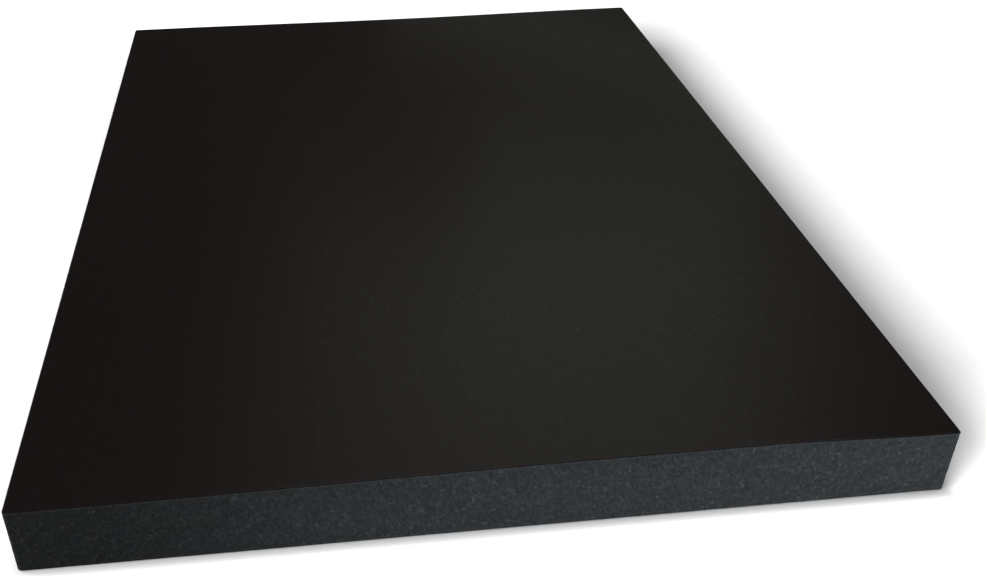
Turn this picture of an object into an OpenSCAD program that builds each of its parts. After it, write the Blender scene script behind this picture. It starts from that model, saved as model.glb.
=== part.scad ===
// Balance pad: a slab of closed-cell foam between two thin skins, trimmed flush on all four sides.
// Units are millimetres. The origin is the middle of the underside, with +Z up and +Y along the length.

/* [Pad] */
// Width of the pad, across its short sides
pad_width = 450; // [200:1:800]
// Length of the pad, along its long sides
pad_length = 600; // [250:1:1000]
// Radius of the upright corners, seen from above
corner_radius = 2; // [1:0.5:40]

/* [Layers] */
// Thickness of the foam core
core_thickness = 34.2; // [10:0.1:120]
// Thickness of each skin, above and below the core
skin_thickness = 1.2; // [0.6:0.1:4]
// Thickness of each film that bonds a skin to the core
bond_thickness = 0.2; // [0.1:0.05:0.8]
// Radius of the rolled rim on the outer face of each skin
rim_radius = 1; // [0.2:0.1:1.8]

/* [Hidden] */

$fn = 64;

// Straight edge that is left on a skin under its rolled rim, and inside the rim at a corner
rim_land = 0.2;
rim = min(rim_radius, skin_thickness - rim_land, corner_radius - rim_land);

// Underside of each layer, stacked from the floor up
lower_bond_z = skin_thickness;
core_z = lower_bond_z + bond_thickness;
upper_bond_z = core_z + core_thickness;
standing_skin_z = upper_bond_z + bond_thickness;

// Straight runs between the corner arcs
straight_width = pad_width - 2 * corner_radius;
straight_length = pad_length - 2 * corner_radius;

// Places a child at the centre of each corner arc
module at_corners() {
    for (x = [-1, 1], y = [-1, 1])
        translate([x * straight_width / 2, y * straight_length / 2, 0])
            children();
}

// Outline of the pad from above
module plan() {
    square([pad_width, straight_length], center = true);
    square([straight_width, pad_length], center = true);
    at_corners() circle(corner_radius);
}

// A layer with straight upright sides
module plain_layer(thickness) {
    linear_extrude(thickness) plan();
}

// Quarter disc that rounds an upper right edge
module rim_quarter() {
    intersection() {
        circle(rim);
        square(rim);
    }
}

// Section of a skin from its middle out to one side, with the rim rolled over the upper edge
module half_section(reach) {
    square([reach, skin_thickness - rim]);
    square([reach - rim, skin_thickness]);
    translate([reach - rim, skin_thickness - rim]) rim_quarter();
}

// Section of a skin from side to side
module full_section(reach) {
    half_section(reach);
    mirror([1, 0]) half_section(reach);
}

// A skin whose rolled rim runs along the four sides and round the corners
module rimmed_layer() {
    rotate([90, 0, 0])
        linear_extrude(straight_length, center = true) full_section(pad_width / 2);
    rotate([90, 0, 90])
        linear_extrude(straight_width, center = true) full_section(pad_length / 2);
    at_corners() rotate_extrude() half_section(corner_radius);
}

// Foam slab, with its cut cells bare on all four sides
module foam_core() {
    color("#363a3d")
        translate([0, 0, core_z]) plain_layer(core_thickness);
}

// Smooth sheet that is stood on
module standing_skin() {
    color("#282624")
        translate([0, 0, standing_skin_z]) rimmed_layer();
}

// The same sheet turned over, which lies on the floor
module base_skin() {
    color("#242322")
        translate([0, 0, skin_thickness]) mirror([0, 0, 1]) rimmed_layer();
}

// Film between the core and the standing skin
module upper_bond_film() {
    color("#1c1b1a")
        translate([0, 0, upper_bond_z]) plain_layer(bond_thickness);
}

// Film between the base skin and the core
module lower_bond_film() {
    color("#1c1b1a")
        translate([0, 0, lower_bond_z]) plain_layer(bond_thickness);
}

foam_core();
standing_skin();
base_skin();
upper_bond_film();
lower_bond_film();
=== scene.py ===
"""Looks of a balance pad: a slab of foam with cut sides between two thin skins, on a white floor.

Everything is in metres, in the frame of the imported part: the origin is the middle of the underside,
+X runs across the width, +Y along the length and +Z up. The near side faces -Y.
"""
import math

import bpy
import numpy as np
from mathutils import Matrix, Vector, noise


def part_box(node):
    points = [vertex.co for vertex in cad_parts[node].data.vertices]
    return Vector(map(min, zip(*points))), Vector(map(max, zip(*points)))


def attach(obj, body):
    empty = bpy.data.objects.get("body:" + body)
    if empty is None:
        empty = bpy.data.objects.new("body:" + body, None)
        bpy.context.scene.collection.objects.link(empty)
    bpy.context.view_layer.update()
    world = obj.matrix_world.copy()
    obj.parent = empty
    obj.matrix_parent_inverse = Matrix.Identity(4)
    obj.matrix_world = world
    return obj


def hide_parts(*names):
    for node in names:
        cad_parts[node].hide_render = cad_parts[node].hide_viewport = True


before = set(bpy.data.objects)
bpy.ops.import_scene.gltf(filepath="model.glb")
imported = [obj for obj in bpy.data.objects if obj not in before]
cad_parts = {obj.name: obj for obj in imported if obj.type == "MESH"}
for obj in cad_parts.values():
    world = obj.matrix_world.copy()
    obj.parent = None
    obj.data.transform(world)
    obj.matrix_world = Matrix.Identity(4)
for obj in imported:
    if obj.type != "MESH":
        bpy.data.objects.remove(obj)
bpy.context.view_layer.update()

# Sizes of the solids that the pieces stand for
CORE_LOW, CORE_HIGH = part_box("foam_core")
STANDING_LOW, STANDING_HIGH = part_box("standing_skin")
BASE_LOW, BASE_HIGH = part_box("base_skin")
HALF_WIDTH = CORE_HIGH.x
HALF_LENGTH = CORE_HIGH.y
CORE_HEIGHT = CORE_HIGH.z - CORE_LOW.z
SKIN_THICKNESS = STANDING_HIGH.z - STANDING_LOW.z
CORNER_RADIUS = 0.002
RIM_RADIUS = 0.001
INNER_WIDTH = HALF_WIDTH - CORNER_RADIUS
INNER_LENGTH = HALF_LENGTH - CORNER_RADIUS
PERIMETER = 4 * (INNER_WIDTH + INNER_LENGTH) + 2 * math.pi * CORNER_RADIUS

# Photographed view: 987 by 580 pixels, seen from the front, a little left of the middle and above
VIEW_PIXELS = 987
FOCAL_PIXELS = 1072.5
CENTRE_PIXEL = 409.7
SENSOR_WIDTH = 36
NEAREST_SEEN = 0.01
CAMERA_PLACE = (-0.0787, -0.6548, 0.385)
CAMERA_DOWN = math.radians(34.204)
CAMERA_TURN = math.radians(6.008)
CAMERA_ROLL = math.radians(-0.562)

# Cut cells on the four sides of the core
SEED = 11
CELL_WIDTH = 0.0013
CELL_ROWS = 19
CELL_JITTER = 0.22
CELL_CORNERS = 6
ZIGZAG_PARTS = 6  # the corners between two rows rise and fall by one of these parts of a row
WALL_DEPTH = 0.00005
CLOSED_SHARE = 0.25
CLOSED_DEPTH = 0.00005
OPEN_DEPTH = (0.0001, 0.00026)
SAW_DEPTH = 0.00015
SAW_LENGTH = 0.045
SAW_SHIFT = 0.5

# Lean of the two short sides, which lie in at the top, where the cut wandered
NEAR_TILT = 0.001  # all along the near side
LEAN_DEPTH = 0.0026  # and this much more where a side's lean is full
LEAN_REACH = 0.03  # how far in from the side the upper face follows
NEAR_LEAN = (-0.2, 0.07, 0.13, 0.22)  # places across X where it starts, is full, fades and ends
FAR_LEAN = (-0.19, 0.0, 0.03, 0.19)

# Skins: the grid of the face, the rolled rim, the gentle swell of the sheet and its trimmed edge
GRID_STEP = 0.006
RIM_STEPS = 6
SWELL_DEPTH = 0.0003
SWELL_LENGTH = 0.16
SWELL_FREE = 0.04
TRIM_DEPTH = 0.0001
TRIM_LENGTH = 0.03
TRIM_SHIFT = 3.0
STANDING_SHIFT = 0.2
BASE_SHIFT = 5.7
CUT_SHARE = "cut_share"
CUT_START = 0.8  # share of the rim's width from which the skin turns to cut foam

# Bond films, of which the edge shows as a hairline
FILM_STEP = 0.006
FILM_INSET = 0.0001

# Layout of the flat maps that the materials can be baked through
BAKE_MAP = "OFBake"
SIDE_STRIPS = 8
STRIP_SHARE = 0.98
CAP_SHARE = 0.1
TOP_CAP_START = 2 * CAP_SHARE
FACE_SHARE = 0.96
RIM_STRETCH = 3
HIDDEN_START = 0.8
HIDDEN_SHARE = 0.18

# Materials: the sizes of their patterns, their finish, and the strength and depth of their bump
FOAM_CELL = 0.0011
FOAM_CELL_TALL = 1.4
FOAM_GRAIN = 0.0007
FOAM_CLOUD = 0.009
FOAM_ROUGHNESS = 0.9
FOAM_GLOSS = 0.03
FOAM_BUMP = (0.3, 0.0002)
SKIN_FLECK = 0.0014
SKIN_GRAIN = 0.0016
SKIN_CLOUD = 0.11
SKIN_CLOUD_DETAIL = 3.0
SKIN_ROUGHNESS = 0.325
FLECK_ROUGHNESS = 0.285
GLINT_ROUGHNESS = 0.2
SKIN_GLOSS = 0.15
SKIN_BUMP = (0.15, 0.0001)
BOND_STREAK = 0.0025
BOND_ROUGHNESS = 0.8
CLOUD_DETAIL = 2.0
CLOUD_LOW = 0.3  # soft noise mostly lies between these two
CLOUD_HIGH = 0.7

# Colours as a screen shows them, from 0 to 255, and the share of cells or flecks past which they pale
DARK_CELL = (36, 37, 37.5)
MIDDLE_CELL = (42.5, 43.5, 44)
LIGHT_CELL = (48.5, 49.5, 50)
PALE_CELL = (58, 59, 60)
PALE_CELL_START = 0.94
SKIN_BLACK = (20.3, 15.7, 15.8)
SOFT_FLECK = (21.1, 16.4, 16.5)
PALE_FLECK = (24, 19.6, 19.3)
PALE_FLECK_START = 0.9
GLINT_START = 0.96
DARK_BOND = (37, 37, 37)
LIGHT_BOND = (46, 46, 45)

# Tints, as shares of light
WHITE = (1, 1, 1, 1)
COOL_FOAM = (0.93, 0.95, 0.98, 1)
WARM_FOAM = (1, 1, 0.97, 1)
SKIN_DIMMED = 0.94

# Floor, with a painted glow that whitens it away from the pad and fades the outer part of the pad's
# shadow, and backdrop
FLOOR_DROP = 0.0002
FLOOR_REACH = 20
BACKDROP_HEIGHT = 6
BACKDROP_SIDES = 48
SIDE_GLOW = (0.0086, 0.218)  # distances beyond the pad where the glow starts and is full
NEAR_GLOW = (0.0, 0.0113)  # the same before the near side
NEAR_START = -0.205  # from here along Y the side's distances pass over into the near ones
NEAR_FULL = -HALF_LENGTH
BOUNCE_GREY = 0.12
WORLD_GREY = 0.03

# Lamps: the low strips stay under the level of the upper face, so that they light the sides alone
PLAN_MIDDLE = (0, 0)
FLOOR_MIDDLE = (*PLAN_MIDDLE, 0)
TOP_MIDDLE = (0.05, 0, STANDING_HIGH.z)
STRIP_LEVEL = 0.022
STRIP_HEIGHT = 0.028
PLAIN_LIGHT = (1, 1, 1)
OLIVE_LIGHT = (0.91, 1, 0.829)
COOL_LIGHT = (0.892, 1, 1.08)


def srgb(red, green, blue):
    """A colour written in 0 to 255 as it looks on a screen, for a shader's colour socket."""
    def linear(part):
        """One part of the colour as light, by the standard curve of screens."""
        share = part / 255
        return share / 12.92 if share <= 0.04045 else ((share + 0.055) / 1.055) ** 2.4
    return (linear(red), linear(green), linear(blue), 1.0)


def grey(value):
    """A grey, for a colour socket."""
    return (value, value, value, 1.0)


# Camera


def make_camera():
    """The photographed view, with the picture's centre moved sideways as the photo is cropped."""
    data = bpy.data.cameras.new("camera")
    data.sensor_width = SENSOR_WIDTH
    data.lens = FOCAL_PIXELS / VIEW_PIXELS * SENSOR_WIDTH
    data.shift_x = 0.5 - CENTRE_PIXEL / VIEW_PIXELS
    data.clip_start = NEAREST_SEEN
    camera = bpy.data.objects.new("camera", data)
    tilt = Matrix.Rotation(math.pi / 2 - CAMERA_DOWN, 4, "X")
    turn = Matrix.Rotation(-CAMERA_TURN, 4, "Z")
    roll = Matrix.Rotation(CAMERA_ROLL, 4, "Z")
    camera.matrix_world = Matrix.Translation(CAMERA_PLACE) @ turn @ tilt @ roll
    bpy.context.scene.collection.objects.link(camera)
    bpy.context.scene.camera = camera


# Materials


def add(tree, kind, inputs=None, **settings):
    """A new node with its settings. Each input is a value, or the output that feeds it."""
    made = tree.nodes.new(kind)
    for name, value in settings.items():
        setattr(made, name, value)
    for name, value in (inputs or {}).items():
        if isinstance(value, bpy.types.NodeSocket):
            tree.links.new(value, made.inputs[name])
        else:
            made.inputs[name].default_value = value
    return made


def new_material(name):
    """An empty material, its node tree and the place in the object that a pattern follows."""
    material = bpy.data.materials.new(name)
    material.use_nodes = True
    tree = material.node_tree
    tree.nodes.clear()
    place = add(tree, "ShaderNodeTexCoord").outputs["Object"]
    return material, tree, place


def surface(tree, **inputs):
    """The shader that ends a material. Underscores in the names stand for spaces."""
    named = {name.replace("_", " "): value for name, value in inputs.items()}
    shader = add(tree, "ShaderNodeBsdfPrincipled", named)
    add(tree, "ShaderNodeOutputMaterial", {"Surface": shader.outputs["BSDF"]})


def cloud(tree, place, size, detail=CLOUD_DETAIL):
    """Soft noise from 0 to 1, whose patches are about the given size."""
    inputs = {"Vector": place, "Scale": 1 / size, "Detail": detail}
    return add(tree, "ShaderNodeTexNoise", inputs).outputs["Fac"]


def shades(tree, place, size):
    """A random value from 0 to 1 for each cell of about the given size."""
    cells = add(tree, "ShaderNodeTexVoronoi", {"Vector": place, "Scale": 1 / size})
    return add(tree, "ShaderNodeSeparateColor", {"Color": cells.outputs["Color"]}).outputs["Red"]


def ramp(tree, factor, stops):
    """A colour that runs through the stops, each a place from 0 to 1 and a colour."""
    made = add(tree, "ShaderNodeValToRGB", {"Fac": factor})
    elements = made.color_ramp.elements
    while len(elements) < len(stops):
        elements.new(1.0)
    for element, (place, colour) in zip(elements, stops):
        element.position = place
        element.color = colour
    return made.outputs["Color"]


def mixed(tree, factor, first, second, blend="MIX"):
    """Two colours mixed, or multiplied."""
    inputs = {"Fac": factor, "Color1": first, "Color2": second}
    return add(tree, "ShaderNodeMixRGB", inputs, blend_type=blend).outputs["Color"]


def spread(tree, value, low, high):
    """A value from 0 to 1 spread between two others."""
    inputs = {"Value": value, "To Min": low, "To Max": high}
    return add(tree, "ShaderNodeMapRange", inputs).outputs["Result"]


def bump(tree, height, strength, depth):
    """A surface normal that follows a height from 0 to 1."""
    inputs = {"Height": height, "Strength": strength, "Distance": depth}
    return add(tree, "ShaderNodeBump", inputs).outputs["Normal"]


def foam_colour(tree, place):
    """Charcoal: each cut cell has its own shade, and a few cells are pale specks."""
    upright = add(tree, "ShaderNodeMapping", {"Vector": place, "Scale": (1, 1, 1 / FOAM_CELL_TALL)})
    colour = ramp(tree, shades(tree, upright.outputs["Vector"], FOAM_CELL), [
        (0.0, srgb(*DARK_CELL)),
        (0.5, srgb(*MIDDLE_CELL)),
        (PALE_CELL_START, srgb(*LIGHT_CELL)),
        (1.0, srgb(*PALE_CELL)),
    ])
    tint = ramp(tree, cloud(tree, place, FOAM_CLOUD), [(CLOUD_LOW, COOL_FOAM), (CLOUD_HIGH, WARM_FOAM)])
    return mixed(tree, 1.0, colour, tint, "MULTIPLY")


def cut_foam_material():
    """Foam, cut open."""
    material, tree, place = new_material("cut_foam")
    surface(
        tree,
        Base_Color=foam_colour(tree, place),
        Roughness=FOAM_ROUGHNESS,
        Normal=bump(tree, cloud(tree, place, FOAM_GRAIN), *FOAM_BUMP),
        Specular_IOR_Level=FOAM_GLOSS,
    )
    return material


def skin_material():
    """Smooth warm black skin with a soft sheen and faint flecks, and cut foam at its trimmed edge."""
    material, tree, place = new_material("skin")
    cut = add(tree, "ShaderNodeAttribute", attribute_name=CUT_SHARE).outputs["Fac"]
    flecks = shades(tree, place, SKIN_FLECK)
    satin = ramp(tree, flecks, [
        (0.0, grey(SKIN_ROUGHNESS)),
        (GLINT_START, grey(FLECK_ROUGHNESS)),
        (1.0, grey(GLINT_ROUGHNESS)),
    ])
    flecked = ramp(tree, flecks, [
        (0.0, srgb(*SKIN_BLACK)),
        (PALE_FLECK_START, srgb(*SOFT_FLECK)),
        (1.0, srgb(*PALE_FLECK)),
    ])
    clouds = cloud(tree, place, SKIN_CLOUD, SKIN_CLOUD_DETAIL)
    patchy = ramp(tree, clouds, [(CLOUD_LOW, grey(SKIN_DIMMED)), (CLOUD_HIGH, WHITE)])
    skin = mixed(tree, 1.0, flecked, patchy, "MULTIPLY")
    surface(
        tree,
        Base_Color=mixed(tree, cut, skin, foam_colour(tree, place)),
        Roughness=spread(tree, cut, satin, FOAM_ROUGHNESS),
        Normal=bump(tree, cloud(tree, place, SKIN_GRAIN), *SKIN_BUMP),
        Specular_IOR_Level=SKIN_GLOSS,
    )
    return material


def bond_material():
    """Thin dark film."""
    material, tree, place = new_material("bond")
    colour = ramp(tree, cloud(tree, place, BOND_STREAK), [
        (CLOUD_LOW, srgb(*DARK_BOND)),
        (CLOUD_HIGH, srgb(*LIGHT_BOND)),
    ])
    surface(tree, Base_Color=colour, Roughness=BOND_ROUGHNESS, Specular_IOR_Level=FOAM_GLOSS)
    return material


# Shapes


def new_piece(name, points, faces, material):
    """A mesh in the frame of the part."""
    mesh = bpy.data.meshes.new(name)
    mesh.from_pydata(points, [], faces)
    mesh.materials.append(material)
    piece = bpy.data.objects.new(name, mesh)
    bpy.context.scene.collection.objects.link(piece)
    return piece


def add_bake_map(piece, places):
    """Lays the piece's faces out flat: each corner of each face, in order, has a place from 0 to 1."""
    layer = piece.data.uv_layers.new(name=BAKE_MAP)
    layer.uv.foreach_set("vector", np.asarray(places, dtype=np.float32).ravel())


def wave(places, length, shift):
    """Smooth noise from 0 to 1 at each place, whose humps are about the given length."""
    offset = Vector((shift, -shift, 2 * shift))
    return np.array([(1 + noise.noise(Vector(place) / length + offset)) / 2 for place in places])


def rise(value, start, full):
    """A smooth step from 0 at the start to 1 where it is full."""
    share = np.clip((value - start) / (full - start), 0, 1)
    return share ** 2 * (3 - 2 * share)


def lean(x, y):
    """How far the upper face is drawn in along Y at these places, most at the short sides' edges."""
    near, far = [
        rise(x, start, full) * rise(-x, -end, -fading)
        for start, full, fading, end in (NEAR_LEAN, FAR_LEAN)
    ]
    depth = np.where(y < 0, NEAR_TILT + LEAN_DEPTH * near, -LEAN_DEPTH * far)
    return depth * rise(np.abs(y), HALF_LENGTH - LEAN_REACH, HALF_LENGTH)


def outline(distance):
    """Points at these distances round the pad's plan, and the directions that they face."""
    runs = np.array([2 * INNER_LENGTH, 2 * INNER_WIDTH] * 2)
    starts = np.concatenate([[0], np.cumsum(runs + CORNER_RADIUS * math.pi / 2)])
    corners = np.array([(1, -1), (1, 1), (-1, 1), (-1, -1)]) * (INNER_WIDTH, INNER_LENGTH)
    distance = distance % starts[-1]
    side = np.searchsorted(starts, distance, side="right") - 1
    into = distance - starts[side]
    angle = side * math.pi / 2
    heading = angle + np.clip((into - runs[side]) / CORNER_RADIUS, 0, None)
    along = np.minimum(into, runs[side])[:, None] * np.stack([-np.sin(angle), np.cos(angle)], 1)
    facing = np.stack([np.cos(heading), np.sin(heading)], 1)
    return corners[side] + along + CORNER_RADIUS * facing, facing


# Core


def cell_walls(random, columns, pitch, row_height):
    """Corners that the cells share, row by row: places round the side, places up it and depths."""
    steps = np.arange(2 * columns)
    rows = np.arange(CELL_ROWS + 1)
    around = np.broadcast_to(steps * pitch / 2, (len(rows), len(steps)))
    zigzag = np.where((steps[None, :] + rows[:, None]) % 2 == 0, -1, 1) * row_height / ZIGZAG_PARTS
    up = rows[:, None] * row_height + zigzag
    around = around + random.uniform(-1, 1, around.shape) * CELL_JITTER * pitch / 2
    up = up + random.uniform(-1, 1, up.shape) * CELL_JITTER * row_height
    up[0] = 0
    up[-1] = CELL_ROWS * row_height
    depth = random.uniform(0, WALL_DEPTH, up.shape)
    return around, up, depth


def cell_floors(random, columns, pitch, row_height):
    """Places and depths of the deepest point of each cell."""
    rows = np.arange(CELL_ROWS)
    around = (np.arange(columns)[None, :] + rows[:, None] % 2 / 2) * pitch
    up = np.broadcast_to((rows[:, None] + 0.5) * row_height, around.shape)
    around = around + random.uniform(-1, 1, around.shape) * CELL_JITTER * pitch
    up = up + random.uniform(-1, 1, up.shape) * CELL_JITTER * row_height
    closed = random.random(around.shape) < CLOSED_SHARE
    shallow = random.uniform(0, CLOSED_DEPTH, up.shape)
    deep = random.uniform(*OPEN_DEPTH, up.shape)
    return around, up, np.where(closed, shallow, deep)


def cell_faces(columns):
    """Six triangles for each cell, from its deepest point to its shared corners."""
    across = 2 * columns
    first_floor = (CELL_ROWS + 1) * across
    faces = []
    for row in range(CELL_ROWS):
        below, above = row * across, (row + 1) * across
        for column in range(columns):
            middle = 2 * column + row % 2
            left, right = (middle - 1) % across, (middle + 1) % across
            rim = [below + step for step in (left, middle, right)]
            rim += [above + step for step in (right, middle, left)]
            floor = first_floor + row * columns + column
            faces += [(floor, rim[i], rim[(i + 1) % CELL_CORNERS]) for i in range(CELL_CORNERS)]
    return faces


def side_map(faces, around, up):
    """Flat places of the side's triangles, in strips above each other."""
    corners = around[faces]
    cell = corners[:, :1] % PERIMETER
    offset = (corners - cell + PERIMETER / 2) % PERIMETER - PERIMETER / 2
    length = PERIMETER / SIDE_STRIPS
    level = np.floor(cell / length)
    across = 0.5 + STRIP_SHARE * ((cell + offset) / length - level - 0.5)
    upward = (level + 0.5 + STRIP_SHARE * (up[faces] / CORE_HEIGHT - 0.5)) / (SIDE_STRIPS + 1)
    return np.stack([across, upward], -1).reshape(-1, 2)


def cap_map(plan, start):
    """Flat places of a hidden cap's corners, small, in the strip that is left."""
    share = (plan / (HALF_WIDTH, HALF_LENGTH) + 1) / 2
    return share * CAP_SHARE + (start, SIDE_STRIPS / (SIDE_STRIPS + 1))


def make_core(material):
    """The foam slab, with cut cells all round its sides."""
    random = np.random.default_rng(SEED)
    columns = round(PERIMETER / CELL_WIDTH)
    pitch = PERIMETER / columns
    row_height = CORE_HEIGHT / CELL_ROWS
    walls = cell_walls(random, columns, pitch, row_height)
    floors = cell_floors(random, columns, pitch, row_height)
    pairs = zip(walls, floors)
    around, up, depth = [np.concatenate([wall.ravel(), floor.ravel()]) for wall, floor in pairs]
    plan, facing = outline(around)
    saw = wave(np.column_stack([plan, up]), SAW_LENGTH, SAW_SHIFT)
    plan = plan - facing * (depth + SAW_DEPTH * saw)[:, None]
    plan[:, 1] += up / CORE_HEIGHT * lean(*plan.T)
    points = np.column_stack([plan, CORE_LOW.z + up])
    across = 2 * columns
    bottom = np.arange(across)[::-1]
    top = np.arange(CELL_ROWS * across, (CELL_ROWS + 1) * across)
    sides = cell_faces(columns)
    faces = sides + [bottom.tolist(), top.tolist()]
    core = new_piece("cut_foam_core", points.tolist(), faces, material)
    flat = side_map(np.array(sides), around, up)
    caps = [cap_map(plan[bottom], 0), cap_map(plan[top], TOP_CAP_START)]
    add_bake_map(core, np.concatenate([flat, *caps]))
    return core


# Skins


def grid_lines(half):
    """Lines across a skin: close together round the rim and the corners, wider apart between."""
    turn = np.linspace(0, math.pi / 2, RIM_STEPS + 1)
    rim = RIM_RADIUS * (1 - np.cos(turn))
    inner = half - CORNER_RADIUS
    middle = np.linspace(-inner, inner, round(2 * inner / GRID_STEP) + 1)
    return np.concatenate([-half + rim, middle, half - rim[::-1]])


def round_corners(x, y):
    """Grid points moved into the rounded plan, and how far inside its edge each of them lies."""
    over_x = np.clip(np.abs(x) - INNER_WIDTH, 0, None)
    over_y = np.clip(np.abs(y) - INNER_LENGTH, 0, None)
    inside = np.minimum(HALF_WIDTH - np.abs(x), HALF_LENGTH - np.abs(y))
    longest = np.maximum(np.hypot(over_x, over_y), np.finfo(float).tiny)
    shrink = np.maximum(over_x, over_y) / longest
    x = np.sign(x) * (np.minimum(np.abs(x), INNER_WIDTH) + over_x * shrink)
    y = np.sign(y) * (np.minimum(np.abs(y), INNER_LENGTH) + over_y * shrink)
    return x, y, inside


def skin_grid(outer, inner, leaning, shift):
    """Grid points of a skin's outer face, their flat places and how far each has turned to cut foam."""
    x, y = np.meshgrid(grid_lines(HALF_WIDTH), grid_lines(HALF_LENGTH))
    x, y, inside = round_corners(x, y)
    across = np.clip(1 - inside / RIM_RADIUS, 0, 1)
    drop = RIM_RADIUS * (1 - np.sqrt(1 - across ** 2))
    flat = np.stack([x, y], -1) * (1 + RIM_STRETCH * drop / HALF_WIDTH)[..., None]
    places = np.column_stack([x.ravel(), y.ravel(), np.zeros(x.size)])
    swell = wave(places, SWELL_LENGTH, shift).reshape(x.shape)
    drop = drop + SWELL_DEPTH * swell * np.clip(inside / SWELL_FREE, 0, 1)
    height = outer + math.copysign(1, inner - outer) * drop
    trim = 1 - TRIM_DEPTH * wave(places, TRIM_LENGTH, shift + TRIM_SHIFT).reshape(x.shape) / HALF_WIDTH
    y = y + leaning * lean(x, y)
    return np.stack([x * trim, y * trim, height], -1), flat, rise(across, CUT_START, 1)


def border(grid):
    """Indices round the edge of a grid of indices, anticlockwise from the near left."""
    return np.concatenate([grid[0, :-1], grid[:-1, -1], grid[-1, :0:-1], grid[:0:-1, 0]])


def skin_faces(grid, edge, first):
    """Quads of the outer face and of the edge below it, then the hidden face, from point first on."""
    quads = np.stack([grid[:-1, :-1], grid[:-1, 1:], grid[1:, 1:], grid[1:, :-1]], -1).reshape(-1, 4)
    under = first + np.arange(len(edge))
    sides = np.stack([under, np.roll(under, -1), np.roll(edge, -1), edge], -1)
    return quads.tolist() + sides.tolist() + [under[::-1].tolist()]


def skin_map(flat, hidden, faces):
    """Flat places of a skin's faces: outer face and edge large, the hidden face small beside them."""
    large = 0.5 * FACE_SHARE * (flat + (HALF_WIDTH, HALF_LENGTH)) / HALF_LENGTH + (1 - FACE_SHARE) / 2
    share = (hidden / (HALF_WIDTH, HALF_LENGTH) + 1) / 2
    small = share * HIDDEN_SHARE + (HIDDEN_START, 0)
    shown = np.concatenate(faces[:-1])
    return np.concatenate([large[shown], small[::-1]])


def make_skin(name, outer, inner, leaning, shift, material):
    """A skin with a rolled rim on its outer face, gently uneven, whose trimmed edge shows cut foam."""
    face, flat, cut = skin_grid(outer, inner, leaning, shift)
    grid = np.arange(face.shape[0] * face.shape[1]).reshape(face.shape[:2])
    edge = border(grid)
    points, flat = face.reshape(-1, 3), flat.reshape(-1, 2)
    under = points[edge] * (1, 1, 0) + (0, 0, inner)
    flat_under = flat[edge] * (1 + RIM_STRETCH * SKIN_THICKNESS / HALF_WIDTH)
    faces = skin_faces(grid, edge, len(points))
    piece = new_piece(name, np.concatenate([points, under]).tolist(), faces, material)
    add_bake_map(piece, skin_map(np.concatenate([flat, flat_under]), under[:, :2], faces))
    share = piece.data.attributes.new(CUT_SHARE, "FLOAT", "POINT")
    share.data.foreach_set("value", np.concatenate([cut.ravel(), np.ones(len(edge))]))
    if outer < inner:
        piece.data.flip_normals()
    piece.data.shade_smooth()
    return piece


# Bond films


def make_film(name, node, leaning, material):
    """A thin film that fills the space between a skin and the core."""
    low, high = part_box(node)
    count = round(PERIMETER / FILM_STEP)
    plan, facing = outline(np.arange(count) * PERIMETER / count)
    plan = plan - FILM_INSET * facing
    plan[:, 1] += leaning * lean(*plan.T)
    rings = [np.column_stack([plan, np.full(count, level)]) for level in (low.z, high.z)]
    lower = np.arange(count)
    upper = lower + count
    sides = np.stack([lower, np.roll(lower, -1), np.roll(upper, -1), upper], -1)
    caps = [lower[::-1].tolist(), upper.tolist()]
    return new_piece(name, np.concatenate(rings).tolist(), sides.tolist() + caps, material)


def make_pad():
    """All pieces of the pad, on its one body."""
    cut_foam, skin, bond = cut_foam_material(), skin_material(), bond_material()
    core = make_core(cut_foam)
    standing = make_skin(
        "standing_skin_sheet", outer=STANDING_HIGH.z, inner=STANDING_LOW.z,
        leaning=True, shift=STANDING_SHIFT, material=skin,
    )
    base = make_skin(
        "base_skin_sheet", outer=BASE_LOW.z, inner=BASE_HIGH.z,
        leaning=False, shift=BASE_SHIFT, material=skin,
    )
    upper_film = make_film("upper_bond_sheet", "upper_bond_film", leaning=True, material=bond)
    lower_film = make_film("lower_bond_sheet", "lower_bond_film", leaning=False, material=bond)
    pieces = [
        (core, "foam_core", "cut_foam"),
        (standing, "standing_skin", "skin"),
        (base, "base_skin", "skin"),
        (upper_film, "upper_bond_film", "bond"),
        (lower_film, "lower_bond_film", "bond"),
    ]
    for piece, node, slot in pieces:
        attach(piece, "root")
        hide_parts(node)
    return [piece for piece, *_ in pieces]


# Floor and light


def beyond_pad(tree, place):
    """How far a place on the floor lies outside the pad's plan."""
    size = (HALF_WIDTH, HALF_LENGTH, STANDING_HIGH.z)
    for operation, other in [("ABSOLUTE", None), ("SUBTRACT", size), ("MAXIMUM", (0, 0, 0))]:
        inputs = {0: place} if other is None else {0: place, 1: other}
        place = add(tree, "ShaderNodeVectorMath", inputs, operation=operation).outputs["Vector"]
    return add(tree, "ShaderNodeVectorMath", {0: place}, operation="LENGTH").outputs["Value"]


def fade(tree, value, start, full, shape):
    """Rises from 0 at the start to 1 where the value is full, in a straight or a smooth step."""
    inputs = {"Value": value, "From Min": start, "From Max": full}
    return add(tree, "ShaderNodeMapRange", inputs, interpolation_type=shape).outputs["Result"]


def floor_glow(tree, place):
    """How strongly the floor's painted glow shines: more further out, and closer to the pad towards its
    near side, where it narrows the pad's shadow.
    """
    length = add(tree, "ShaderNodeSeparateXYZ", {"Vector": place}).outputs["Y"]
    near = fade(tree, length, NEAR_START, NEAR_FULL, "LINEAR")
    start, full = [spread(tree, near, beside, before) for beside, before in zip(SIDE_GLOW, NEAR_GLOW)]
    return fade(tree, beyond_pad(tree, place), start, full, "SMOOTHSTEP")


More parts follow.
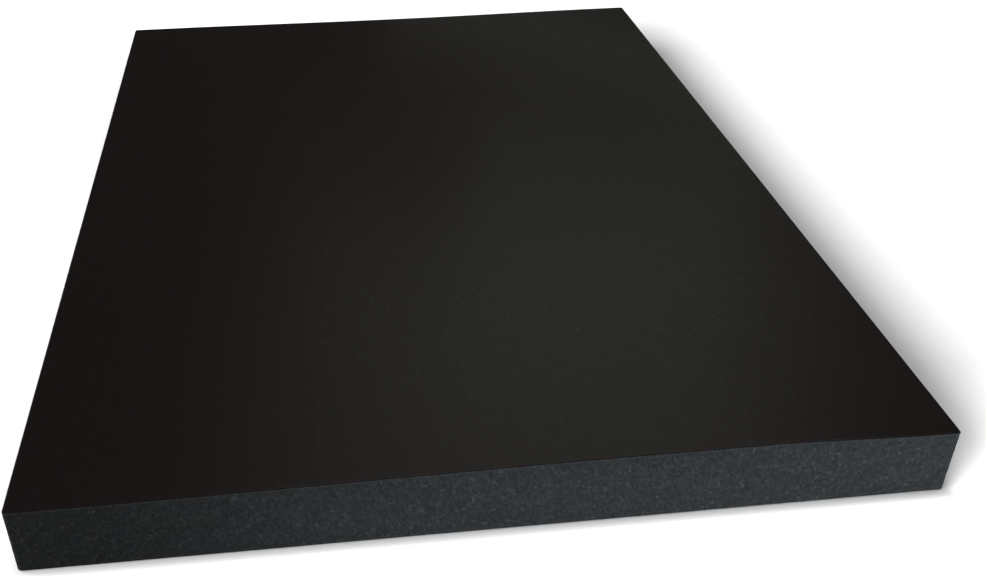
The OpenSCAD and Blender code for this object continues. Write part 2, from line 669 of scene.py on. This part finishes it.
def floor_material():
    """White that keeps the pad's shadow close by, has a painted glow further out that fades that
    shadow, and throws little light back up.
    """
    material, tree, place = new_material("floor")
    rays = add(tree, "ShaderNodeLightPath").outputs
    seen = rays["Is Camera Ray"]
    for ray in ("Is Glossy Ray", "Is Transmission Ray"):
        either = add(tree, "ShaderNodeMath", {0: seen, 1: rays[ray]}, operation="MAXIMUM")
        seen = either.outputs["Value"]
    light = add(tree, "ShaderNodeEmission", {"Color": WHITE, "Strength": floor_glow(tree, place)})
    white = add(tree, "ShaderNodeBsdfDiffuse", {"Color": WHITE})
    dull = add(tree, "ShaderNodeBsdfDiffuse", {"Color": grey(BOUNCE_GREY)})
    shown = add(tree, "ShaderNodeAddShader", {0: white.outputs["BSDF"], 1: light.outputs["Emission"]})
    inputs = {0: seen, 1: dull.outputs["BSDF"], 2: shown.outputs["Shader"]}
    mix = add(tree, "ShaderNodeMixShader", inputs)
    add(tree, "ShaderNodeOutputMaterial", {"Surface": mix.outputs["Shader"]})
    return material


def backdrop_material():
    """Plain white."""
    material, tree, _ = new_material("backdrop")
    light = add(tree, "ShaderNodeEmission", {"Color": WHITE})
    add(tree, "ShaderNodeOutputMaterial", {"Surface": light.outputs["Emission"]})
    return material


def ring(height):
    """Points round the floor's edge at a height."""
    turns = [2 * math.pi * i / BACKDROP_SIDES for i in range(BACKDROP_SIDES)]
    return [(FLOOR_REACH * math.cos(turn), FLOOR_REACH * math.sin(turn), height) for turn in turns]


def make_floor():
    """A round floor, and a white wall round its edge that gives the pad no light."""
    low = ring(-FLOOR_DROP)
    new_piece("floor", low, [range(BACKDROP_SIDES)], floor_material())
    following = [(i, (i + 1) % BACKDROP_SIDES) for i in range(BACKDROP_SIDES)]
    panels = [(i, j, j + BACKDROP_SIDES, i + BACKDROP_SIDES) for i, j in following]
    wall = new_piece("backdrop", low + ring(BACKDROP_HEIGHT), panels, backdrop_material())
    wall.visible_diffuse = False
    wall.visible_glossy = False


def softbox(name, place, target, width, height, watts, colour=PLAIN_LIGHT, lit=None, mirrored=True):
    """A rectangular lamp facing a target. It lights all or one group, and gloss may mirror it."""
    data = bpy.data.lights.new(name, "AREA")
    data.shape = "RECTANGLE"
    data.size = width
    data.size_y = height
    data.energy = watts
    data.color = colour
    lamp = bpy.data.objects.new(name, data)
    lamp.location = place
    lamp.rotation_mode = "QUATERNION"
    lamp.rotation_quaternion = (Vector(target) - Vector(place)).to_track_quat("-Z", "Y")
    lamp.visible_camera = False
    lamp.visible_glossy = mirrored
    if lit:
        lamp.light_linking.receiver_collection = lit
    bpy.context.scene.collection.objects.link(lamp)
    return lamp


def strip(name, place, target, width, watts, lit):
    """A low strip lamp, placed in plan, that faces one side of the pad. Its rims don't mirror it."""
    softbox(
        name, (*place, STRIP_LEVEL), (*target, STRIP_LEVEL), width, STRIP_HEIGHT, watts,
        colour=COOL_LIGHT, lit=lit, mirrored=False,
    )


def sheen(name, place, width, height, watts, lit):
    """A lamp that the upper face mirrors softly."""
    softbox(name, place, TOP_MIDDLE, width, height, watts, OLIVE_LIGHT, lit)


def make_keys():
    """Two lamps on the left and one above, which light everything and cast the shadow."""
    softbox(
        "left_key", place=(-2.076, 0.502, 1.483), target=FLOOR_MIDDLE,
        width=2.2, height=1.48, watts=49.5, mirrored=False,
    )
    softbox(
        "near_key", place=(-1.751, -1.339, 1.379), target=FLOOR_MIDDLE,
        width=1.51, height=0.88, watts=41.5, mirrored=False,
    )
    softbox(
        "above", place=(0.5, 0.161, 2.2), target=(0.5, 0.161, 0),
        width=1.49, height=1.49, watts=14.8,
    )


def make_sheens(pad):
    """Lamps for the upper face's sheen. The left one is seen in its gloss alone."""
    left = softbox(
        "left_sheen", place=(-1.8, 0.9, 1), target=TOP_MIDDLE,
        width=1.2, height=1, watts=1.3, lit=pad,
    )
    left.visible_diffuse = False
    sheen("low_sheen", place=(0.509, 0.42, 0.217), width=1.36, height=0.03, watts=0.079, lit=pad)
    sheen("middle_sheen", place=(0.252, 0.42, 0.483), width=0.36, height=0.46, watts=0.116, lit=pad)
    sheen("high_sheen", place=(0.505, 1.564, 1.902), width=1.58, height=1.4, watts=4.484, lit=pad)
    sheen("opposite_sheen", place=(0.8, -0.9, 0.35), width=1.0, height=0.4, watts=0.16, lit=pad)


def make_strips(pad):
    """Low lamps for the four sides. The front one stands to the right, where the side is lighter."""
    strip("front_strip", place=(0.332, -0.352), target=(0.301, -0.052), width=0.9, watts=0.561, lit=pad)
    strip("right_strip", place=(1.0, 0), target=PLAN_MIDDLE, width=0.58, watts=9.2, lit=pad)
    strip("left_strip", place=(-1.0, 0), target=PLAN_MIDDLE, width=0.58, watts=3.8, lit=pad)
    strip("back_strip", place=(0, 1.05), target=PLAN_MIDDLE, width=0.43, watts=8.3, lit=pad)


def make_world():
    """Faint even light from all round."""
    world = bpy.data.worlds.new("world")
    world.use_nodes = True
    world.node_tree.nodes["Background"].inputs["Color"].default_value = grey(WORLD_GREY)
    bpy.context.scene.world = world


def make_light(pieces):
    """All lamps. The sheens and strips light the pad alone, so the floor keeps the keys' shadow."""
    pad = bpy.data.collections.new("pad")
    for piece in pieces:
        pad.objects.link(piece)
    make_keys()
    make_sheens(pad)
    make_strips(pad)
    make_world()


make_camera()
pieces = make_pad()
make_floor()
make_light(pieces)
bpy.context.scene.view_settings.view_transform = "Standard"
